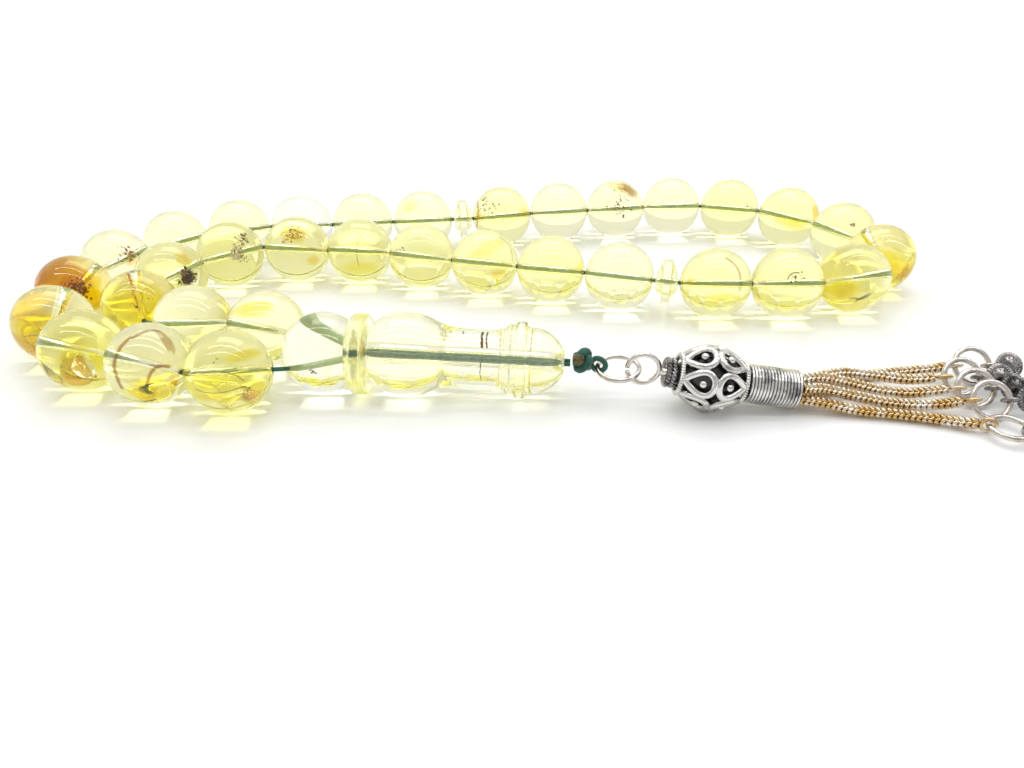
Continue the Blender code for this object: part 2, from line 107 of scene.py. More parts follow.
# (angle round the mouth, route, middle of the eye at its end, the eye's heading and lean)
CHAINS = [
    (215, ((45.8, -34.0, 1.8), (50.3, -34.7, 1.0), (54.5, -35.4, 0.9),
           (58.5, -36.3, 0.9), (62.2, -37.5, 1.0)), (66.2, -38.9, 1.3), -15, 0),
    (143, ((45.8, -32.7, 3.3), (50.5, -32.7, 2.1), (55.0, -33.2, 1.3),
           (59.2, -33.7, 1.2), (62.6, -34.2, 1.7)), (66.0, -34.5, 2.4), 0, 50),
    (71, ((45.6, -31.0, 4.2), (50.0, -30.3, 2.9), (54.3, -30.5, 1.8),
          (58.4, -31.0, 1.5), (62.0, -31.3, 1.9)), (65.4, -31.4, 2.4), 0, 50),
    (-1, ((45.8, -29.2, 3.1), (50.2, -27.4, 2.8), (55.0, -27.2, 2.2),
          (59.2, -27.9, 1.9), (61.9, -28.2, 2.1)), (65.0, -28.3, 2.4), 0, 50),
    (287, ((45.8, -30.5, 0.9), (50.5, -27.4, 0.85), (55.0, -25.2, 0.85),
           (60.0, -24.6, 1.1), (64.6, -25.0, 1.8)), (68.1, -25.1, 2.4), 0, 50),
]

# Sizes that only the visual model has
BEAD_BORE_R = 0.43 * MM
BEAD_MOUTH_FLARE = 0.12 * MM
BEAD_MOUTH_DEPTH = 0.1 * MM
LINING_R = 0.39 * MM
LINING_INSET = 0.25 * MM
CORD_STEP = 0.28 * MM
CORD_LAY = {"twist": 4200, "lobes": 3, "depth": 0.16}
KNOT_LAY = {"twist": 3600, "lobes": 3, "depth": 0.14}
KNOT_TURN_R = 0.58 * MM
KNOT_CORE_R = 0.72 * MM
KNOT_LOOP_R = 0.42 * MM
SINGED_TAIL_R = 0.78 * MM
EYE_SHANK_R = 0.45 * MM
COLLAR_ROPE_R = 1.72 * MM
COLLAR_ROPE_WIRE = 0.44 * MM
CAGE_WIRE_R = 0.52 * MM
CAGE_GRAIN_R = 0.55 * MM
CAGE_SHADE_DEPTH = 1.25 * MM
FERRULE_RIDGE_HEIGHT = 0.26 * MM
CHAIN_PITCH = 0.76 * MM
CHAIN_ARM_R = 0.24 * MM
CHAIN_CORNER_R = 0.40 * MM
CHAIN_BULGE = 0.26 * MM
CHAIN_ARM_LEAD = 0.35 * MM
CHAIN_ARM_DEPTH = 0.72 * MM
CHAIN_SHADE_CORE_R = 0.42 * MM
CHARM_ROPE_R = 1.62 * MM
CHARM_ROPE_WIRE = 0.42 * MM
CHARM_GRAIN_R = 0.17 * MM
EYE_OVERLAP = 0.1 * MM    # how far a chain or charm reaches past the line of its own eye

# Looks
AMBER_IOR = 1.54
LIGHT_BOUNCES = 48    # with fewer, light shut in by total reflection leaves black patches
CAMERA_PLACE = Vector((2.0, -123.0, 61.15)) * MM
CAMERA_PITCH = math.radians(-32.056)
CAMERA_ROLL = math.radians(-0.481)
CAMERA_LENS = 26.87
FLOOR_SIZE = 6
# (name, centre in metres, length along X and width, watts)
LIGHTS = [
    ("strip_overhead", (0.25, -0.22, 1.25), (2.4, 0.055), 4.3),
    ("strip_behind", (0.25, 0.25, 1.25), (2.4, 0.055), 4.3),
    ("soft_panel", (0.0, 0.8, 1.2), (1.2, 0.5), 5.0),
]
# The world's light, from grey behind the camera to white beyond the table
WORLD_GRADIENT = (0.0, 0.46, -0.12)
WORLD_GREY = (0.62, 0.61, 0.60, 1)
WORLD_LEVELS = ((0.25, 0.70), (0.45, 0.86), (0.62, 1.0))
WORLD_STRENGTH = 0.88


# ---------------- geometry helpers

def frame_along(origin, direction):
    """A matrix with its Z along direction and its X as near to upright as can be."""
    z = direction.normalized()
    toward = UP if abs(z.dot(UP)) < 0.99 else Vector((1, 0, 0))
    x = (toward - z * toward.dot(z)).normalized()
    return Matrix.LocRotScale(origin, Matrix((x, z.cross(x), z)).transposed(), None)


def add_mesh(name, vertices, faces, material, body, replaced=(), slot="silver",
             place=None, sharp=None):
    """A finished piece that rides on a body and stands for the CAD nodes replaced."""
    mesh = bpy.data.meshes.new(name)
    mesh.from_pydata([tuple(v) for v in vertices], [], faces)
    return add_piece(name, mesh, material, body, replaced, place, sharp)


def add_piece(name, mesh, material, body, replaced=(), place=None,
              sharp=None):
    """The same from a finished mesh. Sharp is the angle from which edges stay hard."""
    mesh.materials.append(material)
    mesh.shade_smooth()
    if sharp:
        mesh.set_sharp_from_angle(angle=math.radians(sharp))
    piece = bpy.data.objects.new(name, mesh)
    bpy.context.scene.collection.objects.link(piece)
    if place:
        piece.matrix_world = place
    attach(piece, body)
    if replaced:
        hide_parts(*replaced)
    return piece


def lathe(outline, steps):
    """Vertices and faces of a closed outline of (radius, height) turned round Z. The
    outline runs from the top down its outer side and back up its inner side."""
    turns = [TURN * i / steps for i in range(steps)]
    vertices = [(r * math.cos(t), r * math.sin(t), h) for t in turns for r, h in outline]
    n = len(outline)
    faces = []
    for i in range(steps):
        for k in range(n):
            a, b = i * n + k, i * n + (k + 1) % n
            c, d = (i + 1) % steps * n + (k + 1) % n, (i + 1) % steps * n + k
            faces.append((a, b, c, d))
    return vertices, faces


def arc(centre_r, centre_h, radius, start, end, count):
    """Outline points on an arc; angles in degrees from outward, towards the top."""
    angles = [math.radians(start + (end - start) * i / count) for i in range(count + 1)]
    return [(centre_r + radius * math.cos(a), centre_h + radius * math.sin(a))
            for a in angles]


def smooth_line(points, samples):
    """Points along a Catmull-Rom curve through the given ones."""
    ends = [points[0] * 2 - points[1], *points, points[-1] * 2 - points[-2]]
    line = []
    for a, b, c, d in zip(ends, ends[1:], ends[2:], ends[3:]):
        for t in np.arange(samples) / samples:
            line.append(((b * 2) + (c - a) * t + (a * 2 - b * 5 + c * 4 - d) * t ** 2
                         + (b * 3 - a - c * 3 + d) * t ** 3) / 2)
    return line + [points[-1]]


def sweep(points, radius, sides, closed=False, twist=0.0, lobes=0, depth=0.0):
    """A tube along the points. With lobes, its section is a bundle of that many plies,
    turning by twist radians a metre."""
    points = [Vector(p) for p in points]
    n = len(points)
    if closed:
        tangents = [(points[(i + 1) % n] - points[i - 1]).normalized() for i in range(n)]
    else:
        tangents = [(points[min(i + 1, n - 1)] - points[max(i - 1, 0)]).normalized()
                    for i in range(n)]
    side = tangents[0].orthogonal().normalized()
    sides_on = []
    for tangent in tangents:
        side = (side - tangent * side.dot(tangent)).normalized()
        sides_on.append(side.copy())
    spin = 0.0
    if closed:
        last = (sides_on[-1] - tangents[0] * sides_on[-1].dot(tangents[0])).normalized()
        spin = math.atan2(last.cross(sides_on[0]).dot(tangents[0]),
                          last.dot(sides_on[0])) / n
    vertices, run = [], 0.0
    for i, (point, tangent, side) in enumerate(zip(points, tangents, sides_on)):
        if i:
            run += (point - points[i - 1]).length
        other = tangent.cross(side)
        for k in range(sides):
            turn = TURN * k / sides + spin * i
            r = radius
            if lobes:
                r *= 1 - depth + depth * abs(math.cos((turn + twist * run) * lobes / 2))
            vertices.append(point + (side * math.cos(turn) + other * math.sin(turn)) * r)
    rings = n if closed else n - 1
    faces = []
    for i in range(rings):
        for k in range(sides):
            a, b = i * sides + k, i * sides + (k + 1) % sides
            j = (i + 1) % n * sides
            faces.append((a, b, j + (k + 1) % sides, j + k))
    if not closed:
        faces.append(tuple(reversed(range(sides))))
        faces.append(tuple(range((n - 1) * sides, n * sides)))
    return vertices, faces


def circle(radius, count):
    return [Vector((radius * math.cos(TURN * i / count),
                    radius * math.sin(TURN * i / count), 0.0))
            for i in range(count)]


def ball(centre, radius, rings, steps):
    """A small closed ball."""
    vertices = [Vector(centre) + Vector((0, 0, radius))]
    for i in range(1, rings):
        a = math.pi * i / rings
        for k in range(steps):
            b = TURN * k / steps
            vertices.append(Vector(centre) + Vector((
                math.sin(a) * math.cos(b), math.sin(a) * math.sin(b), math.cos(a))) * radius)
    vertices.append(Vector(centre) - Vector((0, 0, radius)))
    faces = [(0, 1 + k, 1 + (k + 1) % steps) for k in range(steps)]
    for i in range(rings - 2):
        for k in range(steps):
            a, b = 1 + i * steps + k, 1 + i * steps + (k + 1) % steps
            faces.append((a, a + steps, b + steps, b))
    last, low = len(vertices) - 1, 1 + (rings - 2) * steps
    faces += [(last, low + (k + 1) % steps, low + k) for k in range(steps)]
    return vertices, faces


def moved(shape, matrix):
    return [matrix @ Vector(v) for v in shape[0]], shape[1]


def joined(shapes):
    """Several closed shapes as one list of vertices and one of faces."""
    vertices, faces = [], []
    for some_vertices, some_faces in shapes:
        start = len(vertices)
        vertices += list(some_vertices)
        faces += [tuple(i + start for i in face) for face in some_faces]
    return vertices, faces


# ---------------- materials

class Nodes:
    """Short ways to add and link the nodes of one material."""

    def __init__(self, name):
        self.material = bpy.data.materials.new(name)
        self.material.use_nodes = True
        self.tree = self.material.node_tree
        self.shader = self.tree.nodes["Principled BSDF"]
        self.output = self.tree.nodes["Material Output"]
        self.where = self.add("ShaderNodeTexCoord").outputs["Object"]

    def add(self, kind, **values):
        node = self.tree.nodes.new(kind)
        for key, value in values.items():
            setattr(node, key, value)
        return node

    def link(self, source, target):
        self.tree.links.new(source, target)

    def noise(self, scale, detail, rough=0.5):
        node = self.add("ShaderNodeTexNoise")
        node.inputs["Scale"].default_value = scale
        node.inputs["Detail"].default_value = detail
        node.inputs["Roughness"].default_value = rough
        self.link(self.where, node.inputs["Vector"])
        return node.outputs["Fac"]

    def ramp(self, source, *stops):
        """A colour between two (place, colour) stops."""
        node = self.add("ShaderNodeValToRGB")
        for point, (at, colour) in zip(node.color_ramp.elements, stops):
            point.position = at
            point.color = (*colour, 1)
        self.link(source, node.inputs["Fac"])
        return node.outputs["Color"]

    def paint(self, source, *stops):
        self.link(self.ramp(source, *stops), self.shader.inputs["Base Color"])

    def span(self, source, low, high):
        node = self.add("ShaderNodeMapRange")
        node.inputs["To Min"].default_value = low
        node.inputs["To Max"].default_value = high
        self.link(source, node.inputs["Value"])
        return node.outputs["Result"]

    def roughen(self, source, low, high):
        self.link(self.span(source, low, high), self.shader.inputs["Roughness"])

    def bump(self, source, distance, strength=1.0):
        node = self.add("ShaderNodeBump")
        node.inputs["Distance"].default_value = distance
        node.inputs["Strength"].default_value = strength
        self.link(source, node.inputs["Height"])
        self.link(node.outputs["Normal"], self.shader.inputs["Normal"])

    def set(self, **values):
        for key, value in values.items():
            self.shader.inputs[key.replace("_", " ")].default_value = value

    def absorb(self, colour, density):
        node = self.add("ShaderNodeVolumeAbsorption")
        node.inputs["Color"].default_value = (*colour, 1)
        node.inputs["Density"].default_value = density
        self.link(node.outputs["Volume"], self.output.inputs["Volume"])


def amber(name, colour, density, haze=0.0):
    """Clear polished amber. Colour is what passes, and density how strongly it tints."""
    nodes = Nodes(name)
    nodes.set(Base_Color=(1, 1, 1, 1), Transmission_Weight=1.0, IOR=AMBER_IOR)
    nodes.roughen(nodes.noise(260, 2.0), haze, haze + 0.035)
    nodes.bump(nodes.noise(420, 3.0), 0.00001, 0.35)
    nodes.absorb(colour, density)
    return nodes.material


def stain(name, colour, density):
    """Darker amber inside a bead: it bends no light and only tints it."""
    nodes = Nodes(name)
    nodes.set(Base_Color=(1, 1, 1, 1), Transmission_Weight=1.0, IOR=1.0, Roughness=0.0)
    nodes.set(Specular_IOR_Level=0.0)
    nodes.absorb(colour, density)
    return nodes.material


def fracture():
    """An air-filled crack inside amber, bright where light is turned back by it."""
    nodes = Nodes("fracture")
    nodes.set(Base_Color=(1, 1, 1, 1), Transmission_Weight=1.0, IOR=1 / AMBER_IOR)
    nodes.roughen(nodes.noise(900, 2.0), 0.02, 0.12)
    nodes.bump(nodes.noise(1500, 3.0), 0.00006)
    return nodes.material


def debris(name, dark, light):
    """Bits of bark and soil shut in the amber."""
    nodes = Nodes(name)
    nodes.paint(nodes.noise(3000, 4.0), (0.35, dark), (0.65, light))
    nodes.set(Roughness=0.7)
    nodes.bump(nodes.noise(6000, 2.0), 0.00003)
    return nodes.material


def thread():
    nodes = Nodes("green cord")
    nodes.paint(nodes.noise(1800, 5.0, 0.6), (0.3, (0.006, 0.05, 0.036)),
                (0.7, (0.02, 0.14, 0.10)))
    nodes.set(Roughness=0.75, Sheen_Weight=0.3, Sheen_Roughness=0.5)
    nodes.bump(nodes.noise(7000, 3.0), 0.00004)
    return nodes.material


def singed():
    nodes = Nodes("singed cord end")
    nodes.paint(nodes.noise(2500, 4.0), (0.35, (0.05, 0.035, 0.012)),
                (0.65, (0.16, 0.14, 0.05)))
    nodes.set(Roughness=0.5)
    nodes.bump(nodes.noise(4000, 3.0), 0.00006)
    return nodes.material


def silver(name, bright, tarnish, share, rough):
    """Polished silver with tarnish in patches, and painted shade in its hollows."""
    nodes = Nodes(name)
    patches = nodes.ramp(nodes.noise(420, 5.0, 0.6), (share - 0.12, tarnish),
                         (share + 0.12, bright))
    # Painted shade: a ramp on Pointiness darkens hollows and creases to near black, for dark
    # edge lines.
    hollow = nodes.add("ShaderNodeNewGeometry").outputs["Pointiness"]
    depth = nodes.ramp(hollow, (0.44, (0.05, 0.05, 0.055)), (0.5, (1, 1, 1)))
    mix = nodes.add("ShaderNodeMix", data_type="RGBA", blend_type="MULTIPLY")
    mix.inputs["Factor"].default_value = 1.0
    nodes.link(patches, mix.inputs["A"])
    nodes.link(depth, mix.inputs["B"])
    nodes.link(mix.outputs["Result"], nodes.shader.inputs["Base Color"])
    nodes.set(Metallic=1.0)
    nodes.roughen(nodes.noise(900, 4.0), rough, rough + 0.12)
    nodes.bump(nodes.noise(2600, 3.0), 0.00002, 0.5)
    return nodes.material


def white_floor():
    nodes = Nodes("white table")
    nodes.paint(nodes.noise(30, 4.0), (0.3, (0.865, 0.875, 0.88)),
                (0.7, (0.89, 0.90, 0.905)))
    nodes.set(Roughness=0.6, Specular_IOR_Level=0.2)
    return nodes.material


def frosted(name, alpha, dark, light):
    """The drilled wall of a bore: a pale skin that half hides the cord behind it."""
    nodes = Nodes(name)
    nodes.paint(nodes.noise(2200, 4.0), (0.3, dark), (0.7, light))
    nodes.set(Roughness=0.8, Alpha=alpha)
    return nodes.material


PALE = amber("pale amber", (0.975, 0.955, 0.40), 62)
LEMON = amber("lemon amber", (0.97, 0.945, 0.30), 88)
HONEY = amber("honey amber", (0.965, 0.90, 0.20), 110)
MILKY = amber("milky amber", (0.98, 0.96, 0.45), 66, 0.05)
CLEAR = amber("clear amber", (0.985, 0.975, 0.70), 40)
IMAME_AMBER = amber("imame amber", (0.98, 0.97, 0.50), 46)
SATIN = amber("satin amber", (0.98, 0.97, 0.36), 74, 0.14)
GOLD = amber("golden amber", (0.96, 0.86, 0.12), 120)

YELLOW_STAIN = stain("yellow inclusion", (0.96, 0.91, 0.06), 420)
ORANGE_STAIN = stain("orange inclusion", (0.95, 0.80, 0.02), 700)
BROWN_STAIN = stain("brown inclusion", (0.66, 0.46, 0.10), 4200)
OLIVE_STAIN = stain("grey-green inclusion", (0.50, 0.52, 0.25), 900)
GOLD_STAIN = stain("golden inclusion", (0.95, 0.87, 0.04), 900)
AMBER_STAIN = stain("brown-orange inclusion", (0.91, 0.77, 0.03), 760)
RUST_STAIN = stain("rust inclusion", (0.87, 0.63, 0.02), 620)
FRACTURE = fracture()
BROWN_BITS = debris("brown debris", (0.06, 0.025, 0.008), (0.28, 0.13, 0.04))
DARK_BITS = debris("dark debris", (0.02, 0.015, 0.01), (0.12, 0.08, 0.04))
RED_BITS = debris("red-brown debris", (0.16, 0.03, 0.008), (0.45, 0.14, 0.03))
PALE_BITS = debris("pale debris", (0.45, 0.40, 0.28), (0.75, 0.70, 0.55))
CORD = thread()
FROSTED = frosted("frosted bore", 0.75, (0.46, 0.60, 0.30), (0.68, 0.80, 0.46))
PAIR_FROSTED = frosted("frosted pair bore", 0.5, (0.30, 0.42, 0.28), (0.55, 0.66, 0.46))
SINGED = singed()
POLISHED = silver("polished silver", (0.70, 0.66, 0.62), (0.46, 0.37, 0.28), 0.42, 0.04)
OXIDISED = silver("oxidised silver", (0.80, 0.78, 0.75), (0.10, 0.095, 0.10), 0.42, 0.14)
TARNISHED = silver("tarnished silver", (0.86, 0.80, 0.70), (0.62, 0.42, 0.17), 0.50, 0.08)
SCROLLED = silver("scrolled silver", (0.76, 0.74, 0.71), (0.20, 0.18, 0.17), 0.36, 0.05)
DARKENED = silver("darkened silver", (0.48, 0.46, 0.44), (0.09, 0.085, 0.085), 0.50, 0.16)
# Painted shade: near-black metal for the shell inside the cage and the cores of the chains.
SHADE_BLACK = silver("painted shade silver", (0.10, 0.10, 0.105), (0.03, 0.03, 0.032), 0.5, 0.35)


# ---------------- camera, floor, light

def make_camera():
    camera = bpy.data.objects.new("camera", bpy.data.cameras.new("camera"))
    bpy.context.scene.collection.objects.link(camera)
    camera.data.lens = CAMERA_LENS
    camera.data.sensor_width = 36
    camera.data.clip_start = 0.005
    camera.data.clip_end = 20
    camera.matrix_world = (Matrix.Translation(CAMERA_PLACE)
                           @ Matrix.Rotation(math.pi / 2 + CAMERA_PITCH, 4, "X")
                           @ Matrix.Rotation(CAMERA_ROLL, 4, "Z"))
    bpy.context.scene.camera = camera


def strip_light(name, place, size, watts):
    """A long soft box along X that faces the middle of the string."""
    lamp = bpy.data.lights.new(name, "AREA")
    lamp.shape = "RECTANGLE"
    lamp.size, lamp.size_y = size
    lamp.energy = watts
    lamp.color = (1.0, 0.995, 0.985)
    light = bpy.data.objects.new(name, lamp)
    bpy.context.scene.collection.objects.link(light)
    back = Vector((0, place[1], place[2])).normalized()
    turned = Matrix((Vector((1, 0, 0)), back.cross((1, 0, 0)), back)).transposed()
    light.matrix_world = Matrix.LocRotScale(Vector(place), turned, None)


def make_room():
    """A white table, two strips that leave two streaks on each bead, and a pale world."""
    bpy.ops.mesh.primitive_grid_add(size=FLOOR_SIZE, x_subdivisions=8, y_subdivisions=8)
    floor = bpy.context.object
    floor.name = "table_top"
    floor.data.materials.append(white_floor())
    for light in LIGHTS:
        strip_light(*light)

    world = bpy.data.worlds.new("studio")
    world.use_nodes = True
    tree = world.node_tree
    background = tree.nodes["Background"]
    where = tree.nodes.new("ShaderNodeTexCoord")
    away = tree.nodes.new("ShaderNodeVectorMath")
    away.operation = "DOT_PRODUCT"
    away.inputs[1].default_value = WORLD_GRADIENT
    shift = tree.nodes.new("ShaderNodeMath")
    shift.inputs[1].default_value = 0.5
    ramp = tree.nodes.new("ShaderNodeValToRGB")
    stops = ramp.color_ramp.elements
    stops[0].color = WORLD_GREY
    for at, level in WORLD_LEVELS:
        stops.new(at).color = (level, level, level, 1)
    tree.links.new(where.outputs["Generated"], away.inputs[0])
    tree.links.new(away.outputs["Value"], shift.inputs[0])
    tree.links.new(shift.outputs["Value"], ramp.inputs["Fac"])
    tree.links.new(ramp.outputs["Color"], background.inputs["Color"])
    background.inputs["Strength"].default_value = WORLD_STRENGTH
    scene = bpy.context.scene
    scene.world = world
    scene.view_settings.view_transform = "Standard"
    scene.cycles.max_bounces = LIGHT_BOUNCES
    scene.cycles.transmission_bounces = LIGHT_BOUNCES
    scene.cycles.glossy_bounces = LIGHT_BOUNCES
    scene.cycles.blur_glossy = 0.0    # keeps the bright spots under the beads


# ---------------- the string

def strand():
    """{name: (centre, bore direction)} of every bead and spacer, in stringing order."""
    places = {}
    for name in frame["record"]["behaviour"]["bodies"]:
        if not name.startswith(("bead_", "spacer_")):
            continue
        joint = JOINTS[name]
        axis = Vector(joint["axis"])
        if joint["type"] == "slide":
            low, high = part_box(name)
            places[name] = ((low + high) / 2, -axis)
        else:
            places[name] = (Vector(joint["pos_m"]), axis)
    return places


STRAND = strand()


def head_axis():
    """The level direction from the head bead to the tassel."""
    line = IMAME_END - IMAME_START
    return Vector((line.x, line.y, 0)).normalized()


def head_inlet(side):
    """Where one end of the cord goes into the head bead."""
    turned = Matrix.Rotation(-side * HEAD_INLET_ANGLE, 3, "Z") @ -head_axis()
    return HEAD_CENTRE + turned * BEAD_R


def head_outlet(side):
    """Where it comes out again, beside the other end."""
    return HEAD_CENTRE + head_axis() * HEAD_FACE + UP.cross(head_axis()) * side * PAIR_OFFSET


def cord_end(side):
    """One end's points from the head bead through the disc and the imame to the knot."""
    line = (IMAME_END - IMAME_START).normalized()
    shift = UP.cross(head_axis()) * side * PAIR_OFFSET
    reach = (KNOT_CENTRE.x - KNOT_RADII.x - KNOT_GAP - IMAME_START.x) / line.x
    return [head_outlet(side), IMAME_START - line * KNOT_GAP + shift,
            IMAME_START + line * reach + shift]


def cord_route():
    """The stringing cord's points, from the knot through every bead and back to it."""
    points = list(reversed(cord_end(-1))) + [head_inlet(-1)]
    for name, (centre, axis) in STRAND.items():
        half = BEAD_MOUTH if name.startswith("bead") else SPACER_HALF
        points += [centre - axis * (half + KINK_GAP), centre + axis * (half + KINK_GAP)]
    return points + [head_inlet(1)] + cord_end(1)


def finely(points, step):
    """The same line with points a short step apart, and its corners a little rounded."""
    fine = []
    for a, b in zip(points, points[1:]):
        count = max(1, round((b - a).length / step))
        fine += [a.lerp(b, i / count) for i in range(count)]
    fine.append(points[-1])
    rounded = [(a + b * 2 + c) / 4 for a, b, c in zip(fine, fine[1:], fine[2:])]
    return [fine[0], *rounded, fine[-1]]


def make_cord():
    path = finely(cord_route(), CORD_STEP)
    shape = sweep(path, CORD_R, sides=12, **CORD_LAY)
    cord = add_mesh("green_cord", *shape, CORD, "strand", ["stringing_cord"], "cord")


def make_knot():
    """The tied ends: turns of cord round each other, a singed end, and the ring's loop."""
    turns = []
    for i in range(120):
        t = TURN * i / 120
        wide = 0.62 + 0.30 * math.cos(3 * t)
        turns.append(KNOT_CENTRE + Vector((
            0.828 * MM * math.sin(3 * t),
            1.15 * MM * wide * math.sin(2 * t),
            1.62 * MM * wide * math.cos(2 * t))))
    wraps = sweep(turns, KNOT_TURN_R, sides=12, closed=True, **KNOT_LAY)
    core = [KNOT_CENTRE + Vector((x, 0, 0)) * MM for x in (-1.45, -0.6, 0.3, 1.2)]
    middle = sweep(core, KNOT_CORE_R, sides=12)
    across = jump_frame().col[1].to_3d()
    loop = moved(sweep(circle(LOOP_R, 40), KNOT_LOOP_R, sides=10, closed=True, **KNOT_LAY),
                 frame_along(LOOP_CENTRE, across))
    add_mesh("knot_turns", *joined([wraps, middle, loop]), CORD, "strand", ["cord_knot"],
             "cord")
    tail = [KNOT_CENTRE + Vector(p) * MM for p in (
        (-0.6, -0.2, 0.6), (-0.72, -0.9, 0.8), (-0.78, -1.45, 0.85))]
    add_mesh("singed_tail", *sweep(smooth_line(tail, 6), SINGED_TAIL_R, sides=14), SINGED,
             "strand", [], "cord")


# ---------------- beads

def bead_shape(steps=56, arcs=30):
    """A ball with a straight bore and softly broken edges at its mouths."""
    rim = math.asin((BEAD_BORE_R + BEAD_MOUTH_FLARE) / BEAD_R)
    turns = [rim + (math.pi - 2 * rim) * i / arcs for i in range(arcs + 1)]
    outer = [(BEAD_R * math.sin(turn), BEAD_R * math.cos(turn)) for turn in turns]
    mouth = BEAD_R * math.cos(rim) - BEAD_MOUTH_DEPTH
    inner = [(BEAD_BORE_R, -mouth + 2 * mouth * i / 6) for i in range(7)]
    return lathe(outer + inner, steps)


def spacer_shape():
    """A thin turned disc with a rounded rim and a shallow hub on each face."""
    half = [(1.25, 1.92), (1.62, 1.85), (2.0, 1.55), (2.6, 1.25), (3.2, 0.98), (3.58, 0.78),
            (3.74, 0.6)]
    outline = [(r * MM, h * MM) for r, h in half]
    outline += [(r, -h) for r, h in reversed(outline)]
    outline += [(0.62 * MM, -1.86 * MM), (BEAD_BORE_R, -1.7 * MM),
                (BEAD_BORE_R, 1.7 * MM), (0.62 * MM, 1.86 * MM)]
    return lathe(outline, 48)


# The amber of each bead's number, where it isn't the pale one
BEAD_AMBER = {5: GOLD, 9: CLEAR, 19: HONEY, 31: HONEY, 32: MILKY, 33: MILKY}
BEAD_AMBER.update(dict.fromkeys(
    (1, 3, 4, 12, 16, 17, 18, 20, 21, 22, 24, 25, 26, 27, 28, 29, 30), LEMON))


def lining(start, end):
    """The pale wall of a bore, as a rod that the cord runs inside of."""
    return sweep([start, end], LINING_R, 20)


def make_beads():
    bead = bead_shape()
    spacer = spacer_shape()
    for name, (centre, axis) in STRAND.items():
        if name.startswith("bead"):
            shape, half = bead, BEAD_MOUTH - LINING_INSET
            material = BEAD_AMBER.get(int(name[-2:]), PALE)
        else:
            shape, half = spacer, SPACER_HALF - LINING_INSET
            material = SATIN
        add_mesh(f"amber_{name}", *shape, material, name, [name], "amber",
                 frame_along(centre, axis), sharp=50)
        add_mesh(f"bore_of_{name}", *lining(centre - axis * half, centre + axis * half),
                 FROSTED, name, [], "amber")


# What sits inside the amber is placed by (right, up, near) as seen from this far above the
# table, and leans by degrees within that view.
VIEW_HEIGHT = math.radians(34)
VIEW = Matrix((
    Vector((1, 0, 0)),
    Vector((0, math.sin(VIEW_HEIGHT), math.cos(VIEW_HEIGHT))),
    Vector((0, -math.cos(VIEW_HEIGHT), math.sin(VIEW_HEIGHT))))).transposed()
BEAD_DEPTH = 0.94    # the share of a bead's radius that its inclusions stay within

